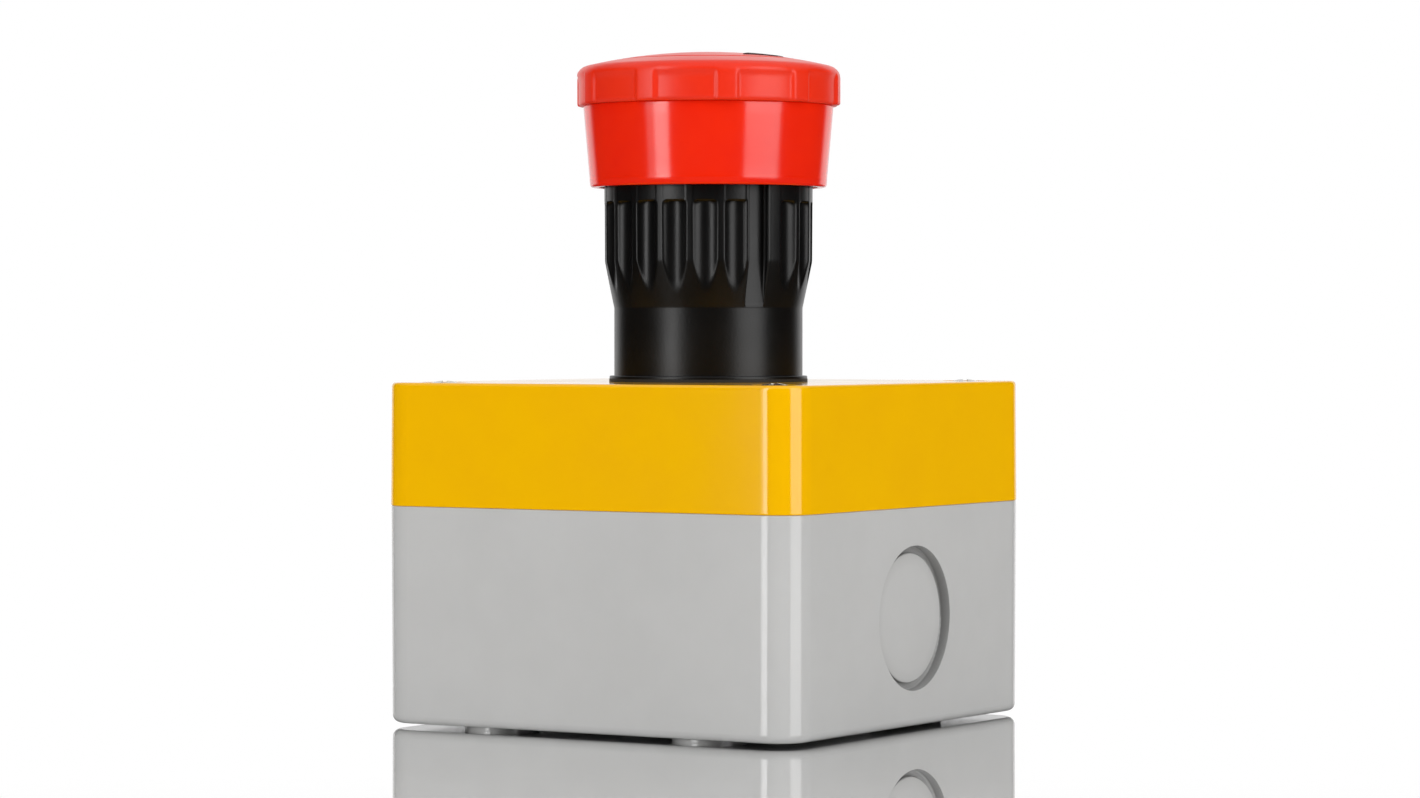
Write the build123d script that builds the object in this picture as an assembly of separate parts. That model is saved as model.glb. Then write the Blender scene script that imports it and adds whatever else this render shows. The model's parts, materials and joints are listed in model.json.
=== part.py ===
"""Surface-mounted emergency stop station with a twist-to-release mushroom head.

Millimetres, +Z up. The origin is the bottom centre of the enclosure, on the plane
that its mounting pads stand on. The press axis is the Z axis, and the two conduit
knock-outs look along +X and -X.
"""
import os
from math import cos, pi, radians, sin, sqrt

from build123d import *

# ---------------------------------------------------------------- driving dimensions
# Enclosure
PAD_HEIGHT = 0.5              # the base stands on four low pads
BASE_SIDE = 71.3              # at the bottom edge; the walls have moulding draft
SEAM_SIDE = 71.6              # at the seam between base and cover
COVER_SIDE = 71.4             # at the top edge of the cover
SEAM_Z = 32.8
COVER_TOP_Z = 51.1
CORNER_RADIUS = 5.2
WALL = 2.5
FLOOR_THICKNESS = 2.6
COVER_SCREW_OFFSET = 28.6     # cover screws, from the axis along X and Y
POST_RADIUS = 5.0
MOUNT_SPACING_X = 36.0
MOUNT_SPACING_Y = 58.0
MOUNT_HOLE_RADIUS = 2.2
PAD_RADIUS = 5.5
KNOCKOUT_Z = 16.5
KNOCKOUT_RADIUS = 10.7
KNOCKOUT_DEPTH = 1.8          # the groove round the plug leaves a thin membrane to break
KNOCKOUT_PLUG_RADIUS = 9.6
KNOCKOUT_PLUG_DEPTH = 1.15    # how far the plug lies below the wall
PANEL_HOLE_RADIUS = 11.15     # a 22.3 mm control-station hole

# Actuator
SEAL_TOP_Z = 51.55
FLANGE_TOP_Z = 52.0
FLANGE_RADIUS = 15.0
NECK_RADIUS = 14.23           # lower plain cylinder of the guard collar
CONE_START_Z = 62.2
CONE_END_Z = 69.2
SLEEVE_RADIUS = 15.7
COLLAR_TOP_Z = 87.0
COLLAR_BORE_RADIUS = 12.1
FLUTE_COUNT = 21              # one of the places is taken by the key channel
FLUTE_RADIUS = 2.55
FLUTE_DEPTH = 0.85
FLUTE_TOP_Z = 78.2
FLUTE_BOTTOM_Z = 64.6
FLUTE_PHASE = -60.1           # degrees about +Z
KEY_CHANNEL_ANGLE = -30.0
KEY_CHANNEL_WIDTH = 3.1
THREAD_RADIUS = 10.9
THREAD_PITCH = 1.5
THREAD_DEPTH = 0.6
BUSHING_BOTTOM_Z = 33.0
BUSHING_NECK_RADIUS = 12.0
BUSHING_TOP_Z = 84.0
BULKHEAD_BOTTOM_Z = 66.0
BULKHEAD_TOP_Z = 72.0
SPRING_WELL_RADIUS = 9.2
GUIDE_BORE_RADIUS = 8.0
LOWER_BORE_RADIUS = 8.8
RUNNING_CLEARANCE = 0.08      # radial, at every sliding or turning fit

# Moving pieces
PRESS_TRAVEL = 5.0
STEM_RADIUS = 4.0
PISTON_BOTTOM_Z = 50.0
PISTON_TOP_Z = 60.0
PUSHER_BOTTOM_Z = 36.0
SPRING_PLATE_Z = 87.5
SPRING_PLATE_THICKNESS = 2.0
STEM_TOP_Z = 98.3
LATCH_PIN_Z = 57.0
LATCH_PIN_RADIUS = 1.4
LATCH_PIN_REACH = 7.6         # tip radius at rest; it grows as the head goes down
LATCH_GROOVE_RADIUS = 8.9

# Mushroom head
HEAD_RADIUS = 20.0
RECESS_RADIUS = 19.62         # finger recesses between the ribs
RIB_COUNT = 10
RIB_ANGLE = 9.5
RIB_PHASE = 21.5
CAP_BOTTOM_Z = 92.7
CAP_TOP_Z = 100.75
DOME_RADIUS = 82.0
CAP_EDGE_FILLET = 1.9
CAP_WEB_Z = 95.2              # underside of the web inside the head
SKIRT_BOTTOM_Z = 80.4
SKIRT_BOTTOM_RADIUS = 17.83
SKIRT_TOP_RADIUS = 18.9
SKIRT_WALL = 1.25
DISC_RADIUS = 14.0            # marker disc that closes the middle of the head
DISC_BOTTOM_Z = 98.6
DISC_GROOVE = 0.3             # half width and depth of the V groove round the disc
ARROW_INNER = 9.0
ARROW_OUTER = 11.4
ARROW_BARB = 1.3              # how far the head stands out on each side of its band
ARROW_HEAD = 5.4              # length of the head
ARROW_SWEEP = 30.0            # degrees of band behind each head
ARROW_PHASE = -4.0            # where the band of the first arrow meets its head
ARROW_PROUD = 0.12            # the inlay can be felt above the dome

# Contact blocks, one each side of the axis
BLOCK_INNER_X = 0.4
BLOCK_WIDTH = 11.5
BLOCK_LENGTH = 42.0
BLOCK_BOTTOM_Z = 9.0
BLOCK_TOP_Z = 30.0
BLOCK_WALL = 1.2
CHAMBER_LENGTH = 25.0
PLUNGER_X = 5.4
PLUNGER_THICKNESS = 4.0
PLUNGER_WIDTH = 5.0
PLUNGER_BOTTOM_Z = 19.0
BRIDGE_Z = 22.2
CONTACT_GAP = 0.02            # closed contacts, drawn just clear of each other

BASE_FLOOR_Z = PAD_HEIGHT + FLOOR_THICKNESS
CEILING_Z = COVER_TOP_Z - WALL
SIDES = {"left": -1, "right": 1}


# ---------------------------------------------------------------- small helpers
def disc(radius, low, high, x=0.0, y=0.0):
    """Upright cylinder between two heights."""
    align = (Align.CENTER, Align.CENTER, Align.MIN)
    return Pos(x, y, low) * Cylinder(radius, high - low, align=align)


def ring(outer, inner, low, high):
    """Upright tube on the press axis."""
    return disc(outer, low, high) - disc(inner, low - 1, high + 1)


def block(x_range, y_range, z_range):
    """Box between two corners, each range given as (low, high)."""
    low = (x_range[0], y_range[0], z_range[0])
    size = (x_range[1] - x_range[0], y_range[1] - y_range[0], z_range[1] - z_range[0])
    align = (Align.MIN, Align.MIN, Align.MIN)
    return Pos(*low) * Box(*size, align=align)


def revolved(points, arc=360.0):
    """Solid of revolution of an (r, z) outline; a partial one is centred on +X."""
    outline = Plane.XZ * make_face(Polyline(*points, close=True))
    solid = revolve(outline, axis=Axis.Z, revolution_arc=arc)
    return Rot(0, 0, -arc / 2) * solid


def drafted_box(low_side, high_side, low, high, radius):
    """Rounded square prism whose side changes evenly from the low to the high end."""
    low_face = Pos(0, 0, low) * RectangleRounded(low_side, low_side, radius)
    high_face = Pos(0, 0, high) * RectangleRounded(high_side, high_side, radius)
    return loft([low_face, high_face])


def helical_spring(mean_radius, wire_radius, low, high, turns):
    """Round-wire coil spring between two heights, ends included."""
    height = high - low - 2 * wire_radius
    path = Helix(pitch=height / turns, height=height, radius=mean_radius)
    section = Plane(origin=path @ 0, z_dir=path % 0) * Circle(wire_radius)
    return Pos(0, 0, low + wire_radius) * sweep(section, path=path)


def corners(x, y):
    """The four points (+-x, +-y)."""
    return [(sx * x, sy * y) for sx in (-1, 1) for sy in (-1, 1)]


def polar_places(radius, count, phase=0.0):
    """Points on a circle, with their angle in degrees."""
    angles = [phase + 360.0 * i / count for i in range(count)]
    return [(radius * cos(radians(a)), radius * sin(radians(a)), a) for a in angles]


# ---------------------------------------------------------------- enclosure
def make_base():
    """Grey lower shell: walls, floor, screw posts, mounting pads and knock-outs."""
    shell = drafted_box(BASE_SIDE, SEAM_SIDE - 0.1, PAD_HEIGHT, SEAM_Z, CORNER_RADIUS)
    shell = fillet(shell.edges().group_by(Axis.Z)[0], 1.2)
    shell = fillet(shell.edges().group_by(Axis.Z)[-1], 0.2)
    inner_side = BASE_SIDE - 2 * WALL
    inner_radius = CORNER_RADIUS - 1.5
    cavity = drafted_box(inner_side, inner_side + 0.1, BASE_FLOOR_Z, SEAM_Z + 0.01, inner_radius)
    base = shell - cavity
    for x, y in corners(COVER_SCREW_OFFSET, COVER_SCREW_OFFSET):
        base += disc(POST_RADIUS, BASE_FLOOR_Z - 0.5, SEAM_Z, x, y)
    for x, y in corners(MOUNT_SPACING_X / 2, MOUNT_SPACING_Y / 2):
        base += disc(PAD_RADIUS, 0, PAD_HEIGHT + 1.0, x, y)
    for x, y in corners(MOUNT_SPACING_X / 2, MOUNT_SPACING_Y / 2):
        base -= disc(MOUNT_HOLE_RADIUS, -1, BASE_FLOOR_Z + 1, x, y)
    for x, y in corners(COVER_SCREW_OFFSET, COVER_SCREW_OFFSET):
        base -= disc(1.65, SEAM_Z - 16.0, SEAM_Z + 1, x, y)
    groove = drafted_box(69.0, 69.0, SEAM_Z - 0.9, SEAM_Z + 0.5, 4.0)
    groove -= drafted_box(67.6, 67.6, SEAM_Z - 1.0, SEAM_Z + 1.0, 3.3)
    base -= groove
    for side in SIDES.values():
        base -= knockout_tool(side)
    return base


def knockout_tool(side):
    """Round conduit recess whose groove leaves a lower plug in its middle."""
    face_x = side * SEAM_SIDE / 2
    plug_length = 4.0
    recess = fillet(Cylinder(KNOCKOUT_RADIUS, 2 * KNOCKOUT_DEPTH).edges(), 0.25)
    plug = fillet(Cylinder(KNOCKOUT_PLUG_RADIUS, plug_length).edges(), 0.2)
    for end in (-1, 1):
        recess -= Pos(0, 0, end * (KNOCKOUT_PLUG_DEPTH + plug_length / 2)) * plug
    return Pos(face_x, 0, KNOCKOUT_Z) * Rot(0, 90, 0) * recess


def make_cover():
    """Yellow upper shell with the control hole and four counterbored screw columns."""
    shell = drafted_box(SEAM_SIDE, COVER_SIDE, SEAM_Z, COVER_TOP_Z, CORNER_RADIUS)
    shell = fillet(shell.edges().group_by(Axis.Z)[-1], 0.6)
    shell = fillet(shell.edges().group_by(Axis.Z)[0], 0.2)
    inner_side = COVER_SIDE - 2 * WALL
    cavity = drafted_box(inner_side, inner_side, SEAM_Z - 0.01, CEILING_Z, CORNER_RADIUS - 1.5)
    cover = shell - cavity
    for x, y in corners(COVER_SCREW_OFFSET, COVER_SCREW_OFFSET):
        cover += disc(POST_RADIUS, SEAM_Z, CEILING_Z + 0.5, x, y)
    for x, y in corners(COVER_SCREW_OFFSET, COVER_SCREW_OFFSET):
        cover -= disc(1.9, SEAM_Z - 3, COVER_TOP_Z + 1, x, y)
        cover -= disc(3.4, COVER_TOP_Z - 2.0, COVER_TOP_Z + 1, x, y)
    cover -= disc(PANEL_HOLE_RADIUS, CEILING_Z - 1, COVER_TOP_Z + 1)
    return cover


def make_cover_gasket():
    """Soft square cord that lies in the groove of the base rim."""
    outer = drafted_box(68.8, 68.8, SEAM_Z - 0.9, SEAM_Z, 3.9)
    inner = drafted_box(67.8, 67.8, SEAM_Z - 1.5, SEAM_Z + 0.5, 3.4)
    return outer - inner


def make_cover_screws():
    """Four domed machine screws with a cross recess, each left at its own turn."""
    head_low = COVER_TOP_Z - 1.95
    head_top = COVER_TOP_Z + 0.25
    dome_radius = 7.0
    turns = (31.5, 30.0, 12.0, 31.5)
    screws = []
    for (x, y), turn in zip(corners(COVER_SCREW_OFFSET, COVER_SCREW_OFFSET), turns):
        head = disc(3.1, head_low, head_top + 0.1) & Pos(0, 0, head_top - dome_radius) * Sphere(dome_radius)
        shank = disc(1.6, SEAM_Z - 12.0, head_low + 0.1)
        slot = block((-1.9, 1.9), (-0.35, 0.35), (head_top - 1.1, head_top + 1))
        cross = block((-0.35, 0.35), (-1.9, 1.9), (head_top - 1.1, head_top + 1))
        screws.append(Pos(x, y, 0) * Rot(0, 0, turn) * (head + shank - slot - cross))
    return Compound(children=screws)


def make_panel_seal():
    """Flat rubber washer between the cover and the collar flange."""
    return ring(FLANGE_RADIUS, PANEL_HOLE_RADIUS + 0.15, COVER_TOP_Z, SEAL_TOP_Z)


# ---------------------------------------------------------------- actuator, fixed pieces
def make_guard_collar():
    """Black neck: plain cylinder, cone, fluted sleeve and one key channel."""
    outline = [
        (COLLAR_BORE_RADIUS, SEAL_TOP_Z),
        (FLANGE_RADIUS - 0.05, SEAL_TOP_Z),
        (FLANGE_RADIUS - 0.05, FLANGE_TOP_Z - 0.15),
        (FLANGE_RADIUS - 0.2, FLANGE_TOP_Z),
        (NECK_RADIUS, FLANGE_TOP_Z),
        (NECK_RADIUS, CONE_START_Z),
        (SLEEVE_RADIUS, CONE_END_Z),
        (SLEEVE_RADIUS + 0.1, COLLAR_TOP_Z - 0.6),
        (SLEEVE_RADIUS - 0.5, COLLAR_TOP_Z),
        (COLLAR_BORE_RADIUS, COLLAR_TOP_Z),
    ]
    collar = revolved(outline)
    axis_radius = SLEEVE_RADIUS + FLUTE_RADIUS - FLUTE_DEPTH
    for x, y, angle in polar_places(axis_radius, FLUTE_COUNT, FLUTE_PHASE):
        turned = (angle - KEY_CHANNEL_ANGLE + 180.0) % 360.0 - 180.0
        if abs(turned) > 180.0 / FLUTE_COUNT:
            collar -= disc(FLUTE_RADIUS, FLUTE_BOTTOM_Z, FLUTE_TOP_Z, x, y)
    half = KEY_CHANNEL_WIDTH / 2
    channel = block((NECK_RADIUS, SLEEVE_RADIUS + 2), (-half, half), (CONE_START_Z - 0.2, COLLAR_TOP_Z + 1))
    collar -= Rot(0, 0, KEY_CHANNEL_ANGLE) * channel
    return collar


def thread_outline(low, high):
    """Ring-grooved outline, from low to high, that stands for the bushing thread."""
    points = []
    for i in range(int((high - low) / THREAD_PITCH)):
        start = low + i * THREAD_PITCH
        points.append((THREAD_RADIUS - THREAD_DEPTH, start))
        points.append((THREAD_RADIUS, start + 0.4 * THREAD_PITCH))
        points.append((THREAD_RADIUS, start + 0.6 * THREAD_PITCH))
    return points


def make_actuator_body():
    """Threaded bushing with the latch bore below and the spring well above."""
    thread_top = 48.0
    groove_low = LATCH_PIN_Z - PRESS_TRAVEL - LATCH_PIN_RADIUS - 0.4
    groove_high = LATCH_PIN_Z
    latch_depth = LATCH_GROOVE_RADIUS - GUIDE_BORE_RADIUS
    bore = STEM_RADIUS + RUNNING_CLEARANCE
    outline = thread_outline(BUSHING_BOTTOM_Z, thread_top) + [
        (THREAD_RADIUS, thread_top),
        (THREAD_RADIUS, SEAL_TOP_Z),
        (BUSHING_NECK_RADIUS, SEAL_TOP_Z),
        (BUSHING_NECK_RADIUS, BUSHING_TOP_Z),
        (SPRING_WELL_RADIUS, BUSHING_TOP_Z),
        (SPRING_WELL_RADIUS, BULKHEAD_TOP_Z),
        (bore, BULKHEAD_TOP_Z),
        (bore, BULKHEAD_BOTTOM_Z),
        (GUIDE_BORE_RADIUS, BULKHEAD_BOTTOM_Z),
        (GUIDE_BORE_RADIUS, groove_high),
        (LATCH_GROOVE_RADIUS, groove_high - 0.3),
        (LATCH_GROOVE_RADIUS, groove_low + latch_depth),
        (GUIDE_BORE_RADIUS, groove_low),
        (GUIDE_BORE_RADIUS, PISTON_BOTTOM_Z - PRESS_TRAVEL + 1.0),
        (LOWER_BORE_RADIUS, PISTON_BOTTOM_Z - PRESS_TRAVEL),
        (LOWER_BORE_RADIUS, BUSHING_BOTTOM_Z),
    ]
    seal_groove = ring(5.95, 3.0, 68.0, 70.0)
    return revolved(outline) - seal_groove


def make_stem_seal():
    """O-ring in the bulkhead, round the stem."""
    section_radius = 0.9
    centre = STEM_RADIUS + RUNNING_CLEARANCE + section_radius
    return Pos(0, 0, 69.0) * Torus(centre, section_radius)


def make_mounting_nut():
    """Hexagon nut that clamps the bushing to the cover from inside."""
    height = 3.0
    top = CEILING_Z - 0.8
    nut = Pos(0, 0, top - height) * extrude(RegularPolygon(15.0, 6), height)
    return nut - disc(THREAD_RADIUS + 0.05, top - height - 1, top + 1)


def make_lock_washer():
    """Toothed washer under the nut, with a bent-down locating tab."""
    washer = ring(14.2, THREAD_RADIUS + 0.1, CEILING_Z - 0.8, CEILING_Z)
    for x, y, angle in polar_places(14.2, 12, 15.0):
        washer -= disc(0.9, CEILING_Z - 2, CEILING_Z + 1, x, y)
    return washer


def make_contact_adapter():
    """Holder that clamps on the bushing and carries the contact blocks."""
    holder = block((-16.0, 16.0), (-13.0, 13.0), (BLOCK_TOP_Z, 37.0))
    holder = fillet(holder.edges().filter_by(Axis.Z), 2.0)
    holder -= disc(LOWER_BORE_RADIUS, BLOCK_TOP_Z - 1, 38.0)
    holder -= disc(THREAD_RADIUS + 0.05, BUSHING_BOTTOM_Z, 38.0)
    for side in SIDES.values():
        hole = Pos(side * 14.0, 0, 35.0) * Rot(0, 90, 0) * Cylinder(1.25, 7.0)
        holder -= hole
    return holder


def make_adapter_screws():
    """Two grub screws that lock the adapter to the bushing."""
    screws = []
    for side in SIDES.values():
        turn = Rot(0, 90, 0)
        shank = Pos(side * 13.6, 0, 35.0) * turn * Cylinder(1.2, 5.0)
        slot = block((-0.3, 0.3), (-2.0, 2.0), (-0.25, 0.25))
        slot = Pos(side * 16.0, 0, 35.0) * slot
        screws.append(shank - slot)
    return Compound(children=screws)


def make_return_spring():
    """Compression spring that lifts the stem back up when the latch lets go."""
    return helical_spring(6.6, 0.5, BULKHEAD_TOP_Z, SPRING_PLATE_Z, 6)


# ---------------------------------------------------------------- contact blocks
def block_x_range(side):
    """X range of one contact housing."""
    inner = side * BLOCK_INNER_X
    outer = side * (BLOCK_INNER_X + BLOCK_WIDTH)
    return min(inner, outer), max(inner, outer)


def chamber_x_range(side):
    """X range of the contact chamber, open at the outer face."""
    inner = side * (BLOCK_INNER_X + BLOCK_WALL)
    outer = side * (BLOCK_INNER_X + BLOCK_WIDTH)
    return min(inner, outer), max(inner, outer)


def make_contact_housing(side):
    """Moulded body with a contact chamber and two open terminal pockets."""
    half = BLOCK_LENGTH / 2
    pocket_start = CHAMBER_LENGTH / 2 + BLOCK_WALL
    body = block(block_x_range(side), (-half, half), (BLOCK_BOTTOM_Z, BLOCK_TOP_Z))
    chamber_z = (BLOCK_BOTTOM_Z + 1.5, BLOCK_TOP_Z - 2.0)
    body -= block(chamber_x_range(side), (-CHAMBER_LENGTH / 2, CHAMBER_LENGTH / 2), chamber_z)
    pocket_x = (side * PLUNGER_X - 3.4, side * PLUNGER_X + 3.4)
    for end in (-1, 1):
        y_range = sorted((end * pocket_start, end * (half + 1)))
        body -= block(pocket_x, y_range, (20.0, BLOCK_TOP_Z + 1))
        slot_y = sorted((end * (pocket_start - BLOCK_WALL - 0.5), end * (pocket_start + 0.5)))
        slot_x = (side * PLUNGER_X - 2.3, side * PLUNGER_X + 2.3)
        body -= block(slot_x, slot_y, (23.9, 24.9))
        screw_hole = disc(1.6, 13.0, 21.0, side * PLUNGER_X, end * 17.5)
        body -= screw_hole
    gap = 0.15
    hole_x = (side * PLUNGER_X - PLUNGER_THICKNESS / 2 - gap, side * PLUNGER_X + PLUNGER_THICKNESS / 2 + gap)
    hole_y = (-PLUNGER_WIDTH / 2 - gap, PLUNGER_WIDTH / 2 + gap)
    body -= block(hole_x, hole_y, (BLOCK_TOP_Z - 3, BLOCK_TOP_Z + 1))
    cover_x = side_cover_x_range(side)
    half_cover = CHAMBER_LENGTH / 2 + 0.8
    body -= block(cover_x, (-half_cover, half_cover), (BLOCK_BOTTOM_Z + 0.7, BLOCK_TOP_Z - 1.2))
    return body


def side_cover_x_range(side):
    """X range of the plate that closes the contact chamber."""
    outer = side * (BLOCK_INNER_X + BLOCK_WIDTH)
    inner = outer - side * BLOCK_WALL
    return min(inner, outer), max(inner, outer)


def make_side_cover(side):
    """Plate that snaps over the open side of the contact chamber."""
    half = CHAMBER_LENGTH / 2 + 0.75
    z_range = (BLOCK_BOTTOM_Z + 0.75, BLOCK_TOP_Z - 1.25)
    return block(side_cover_x_range(side), (-half, half), z_range)


def make_plunger(side):
    """Sliding plunger with the bridge slot and a spring spigot."""
    x = side * PLUNGER_X
    half_x = PLUNGER_THICKNESS / 2
    half_y = PLUNGER_WIDTH / 2
    top = PUSHER_BOTTOM_Z - 0.05
    body = block((x - half_x, x + half_x), (-half_y, half_y), (PLUNGER_BOTTOM_Z, top))
    body -= block((x - half_x - 1, x + half_x + 1), (-half_y + 0.7, half_y - 0.7), (BRIDGE_Z, 26.5))
    spigot = disc(1.0, PLUNGER_BOTTOM_Z - 1.5, PLUNGER_BOTTOM_Z + 0.1, x, 0)
    window = block((x - 1.55, x + 1.55), (-half_y - 1, half_y + 1), (BRIDGE_Z, 26.0))
    return body + spigot - window


def make_bridge(side):
    """Moving contact strip with a contact button at each end."""
    x = side * PLUNGER_X
    strip = block((x - 1.5, x + 1.5), (-11.0, 11.0), (BRIDGE_Z, BRIDGE_Z + 0.6))
    for end in (-1, 1):
        strip += disc(1.3, BRIDGE_Z + 0.5, BRIDGE_Z + 1.2 - CONTACT_GAP, x, end * 9.5)
    return strip


def make_fixed_contacts(side):
    """Two stepped contact strips that lead out to the terminals."""
    x = side * PLUNGER_X
    strips = []
    for end in (-1, 1):
        y_range = sorted((end * 7.8, end * 20.6))
        strip = block((x - 2.2, x + 2.2), y_range, (24.0, 24.8))
        strip += disc(1.3, BRIDGE_Z + 1.2, 24.1, x, end * 9.5)
        strip -= disc(1.6, 23.0, 26.0, x, end * 17.5)
        strips.append(strip)
    return Compound(children=strips)


def make_terminal_clamps(side):
    """Square pressure plates that grip the wires under the terminal screws."""
    x = side * PLUNGER_X
    plates = []
    for end in (-1, 1):
        plate = block((x - 3.0, x + 3.0), sorted((end * 14.5, end * 20.5)), (25.6, 26.4))
        plates.append(plate - disc(1.6, 25.0, 27.0, x, end * 17.5))
    return Compound(children=plates)


def make_terminal_screws(side):
    """Slotted terminal screws."""
    x = side * PLUNGER_X
    screws = []
    for end in (-1, 1):
        y = end * 17.5
        head = disc(2.6, 26.4, 28.4, x, y)
        head = chamfer(head.edges().group_by(Axis.Z)[-1], 0.3)
        shank = disc(1.45, 15.0, 26.5, x, y)
        slot = block((x - 3.0, x + 3.0), (y - 0.4, y + 0.4), (27.5, 29.0))
        screws.append(head + shank - slot)
    return Compound(children=screws)


def make_contact_spring(side):
    """Compression spring under the plunger."""
    spring = helical_spring(1.75, 0.3, BLOCK_BOTTOM_Z + 1.5, PLUNGER_BOTTOM_Z, 4)
    return Pos(side * PLUNGER_X, 0, 0) * spring


# ---------------------------------------------------------------- press stem
def make_push_stem():
    """Turned stem with latch piston, spring plate and clip groove."""
    piston_radius = GUIDE_BORE_RADIUS - RUNNING_CLEARANCE
    outline = [
        (0, PUSHER_BOTTOM_Z + 0.8),
        (STEM_RADIUS - 1.5, PUSHER_BOTTOM_Z + 0.8),
        (STEM_RADIUS - 1.5, PUSHER_BOTTOM_Z + 3.0),
        (STEM_RADIUS, PUSHER_BOTTOM_Z + 3.0),
        (STEM_RADIUS, PISTON_BOTTOM_Z),
        (piston_radius, PISTON_BOTTOM_Z),
        (piston_radius, PISTON_TOP_Z),
        (STEM_RADIUS, PISTON_TOP_Z),
        (STEM_RADIUS, SPRING_PLATE_Z),
        (8.4, SPRING_PLATE_Z),
        (8.4, SPRING_PLATE_Z + SPRING_PLATE_THICKNESS),
        (STEM_RADIUS, SPRING_PLATE_Z + SPRING_PLATE_THICKNESS),
        (STEM_RADIUS, 97.0),
        (3.3, 97.0),
        (3.3, 97.75),
        (STEM_RADIUS, 97.75),
        (STEM_RADIUS, STEM_TOP_Z - 0.4),
        (STEM_RADIUS - 0.4, STEM_TOP_Z),
        (0, STEM_TOP_Z),
    ]
    stem = revolved(outline)
    pin_bore = Pos(0, 0, LATCH_PIN_Z) * Rot(0, 90, 0) * Cylinder(LATCH_PIN_RADIUS + 0.06, 20.0)
    return stem - pin_bore


def make_contact_pusher():
    """Disc on the lower end of the stem that drives both contact plungers."""
    pusher = disc(8.3, PUSHER_BOTTOM_Z, PUSHER_BOTTOM_Z + 2.6)
    pusher = chamfer(pusher.edges().group_by(Axis.Z)[-1], 0.5)
    socket = disc(STEM_RADIUS - 1.5, PUSHER_BOTTOM_Z + 0.8, PUSHER_BOTTOM_Z + 4)
    return pusher - socket


def make_head_clip():
    """Open retaining ring in the groove at the top of the stem."""
    clip = ring(5.4, 3.35, 97.05, 97.7)
    return clip - block((0, 8), (-1.6, 1.6), (96, 99))


def make_latch_spring():
    """Small spring that pushes both latch pins outwards."""
    length = 2 * (LATCH_PIN_REACH - 4.4)
    spring = helical_spring(0.85, 0.3, 0, length, 4)
    return Pos(-length / 2, 0, LATCH_PIN_Z) * Rot(0, 90, 0) * spring


def make_latch_pin(side):
    """Round-nosed pin that snaps into the latch groove when the head is down."""
    length = 4.4
    pin = disc(LATCH_PIN_RADIUS, 0, length)
    pin = fillet(pin.edges().group_by(Axis.Z)[-1], 0.7)
    turn = Rot(0, 90 * side, 0)
    return Pos(side * (LATCH_PIN_REACH - length), 0, LATCH_PIN_Z) * turn * pin


# ---------------------------------------------------------------- mushroom head
def finger_recess():
    """Cutter for one shallow finger recess, centred on +X, that fades out upwards."""
    outside = HEAD_RADIUS + 1.0
    fade_low = 96.3
    fade_high = 98.0
    outline = [
        (RECESS_RADIUS, CAP_BOTTOM_Z - 1),
        (outside, CAP_BOTTOM_Z - 1),
        (outside, fade_high),
        (HEAD_RADIUS + 0.02, fade_high),
        (RECESS_RADIUS, fade_low),
    ]
    return revolved(outline, 360.0 / RIB_COUNT - RIB_ANGLE)


def disc_rim_groove():
    """Cutter for the V groove where the marker disc meets the dome."""
    rim_z = CAP_TOP_Z - DOME_RADIUS + sqrt(DOME_RADIUS ** 2 - DISC_RADIUS ** 2)
    outline = [
        (DISC_RADIUS - 2 * DISC_GROOVE, rim_z + DISC_GROOVE),
        (DISC_RADIUS, rim_z - DISC_GROOVE),
        (DISC_RADIUS + 2 * DISC_GROOVE, rim_z + DISC_GROOVE),
    ]
    return revolved(outline)


def make_mushroom_cap():
    """Red ring and dome with the turning ribs, the clip pocket and the hub."""
    cap = disc(HEAD_RADIUS, CAP_BOTTOM_Z, CAP_TOP_Z)
    dome = Pos(0, 0, CAP_TOP_Z - DOME_RADIUS) * Sphere(DOME_RADIUS)
    cap = cap & dome
    rims = [e for e in cap.edges() if abs(e.length - 2 * pi * HEAD_RADIUS) < 0.1]
    high_rim = max(rims, key=lambda e: e.center().Z)
    cap = fillet([high_rim], CAP_EDGE_FILLET)
    for _, _, angle in polar_places(0, RIB_COUNT, RIB_PHASE + 180.0 / RIB_COUNT):
        cap -= Rot(0, 0, angle) * finger_recess()
    cap -= disc(16.6, CAP_BOTTOM_Z - 1, CAP_WEB_Z)
    cap -= ring(17.9, 16.0, CAP_BOTTOM_Z - 1, 94.0)
    cap += disc(6.6, 90.0, CAP_WEB_Z + 0.5)
    cap -= disc(STEM_RADIUS + RUNNING_CLEARANCE, 89.0, 97.0)
    cap -= disc(6.4, 96.95, 101.0)
    cap -= disc(DISC_RADIUS + 0.05, DISC_BOTTOM_Z, CAP_TOP_Z + 1)
    return cap - disc_rim_groove()


def make_mushroom_skirt():
    """Red conical skirt that telescopes over the guard collar."""
    outline = [
        (SKIRT_BOTTOM_RADIUS - SKIRT_WALL, SKIRT_BOTTOM_Z + 0.2),
        (SKIRT_BOTTOM_RADIUS - SKIRT_WALL + 0.2, SKIRT_BOTTOM_Z),
        (SKIRT_BOTTOM_RADIUS - 0.2, SKIRT_BOTTOM_Z),
        (SKIRT_BOTTOM_RADIUS, SKIRT_BOTTOM_Z + 0.2),
        (SKIRT_TOP_RADIUS, CAP_BOTTOM_Z),
        (17.85, CAP_BOTTOM_Z),
        (17.85, 94.0),
        (16.65, 94.0),
        (16.65, 91.5),
    ]
    return revolved(outline)


def arrow_sector(inner, outer, low, high, start, arc):
    """Upright ring sector that starts at an angle and runs anticlockwise."""
    points = [(inner, low), (outer, low), (outer, high), (inner, high)]
    return Rot(0, 0, start + arc / 2) * revolved(points, arc)


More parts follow.
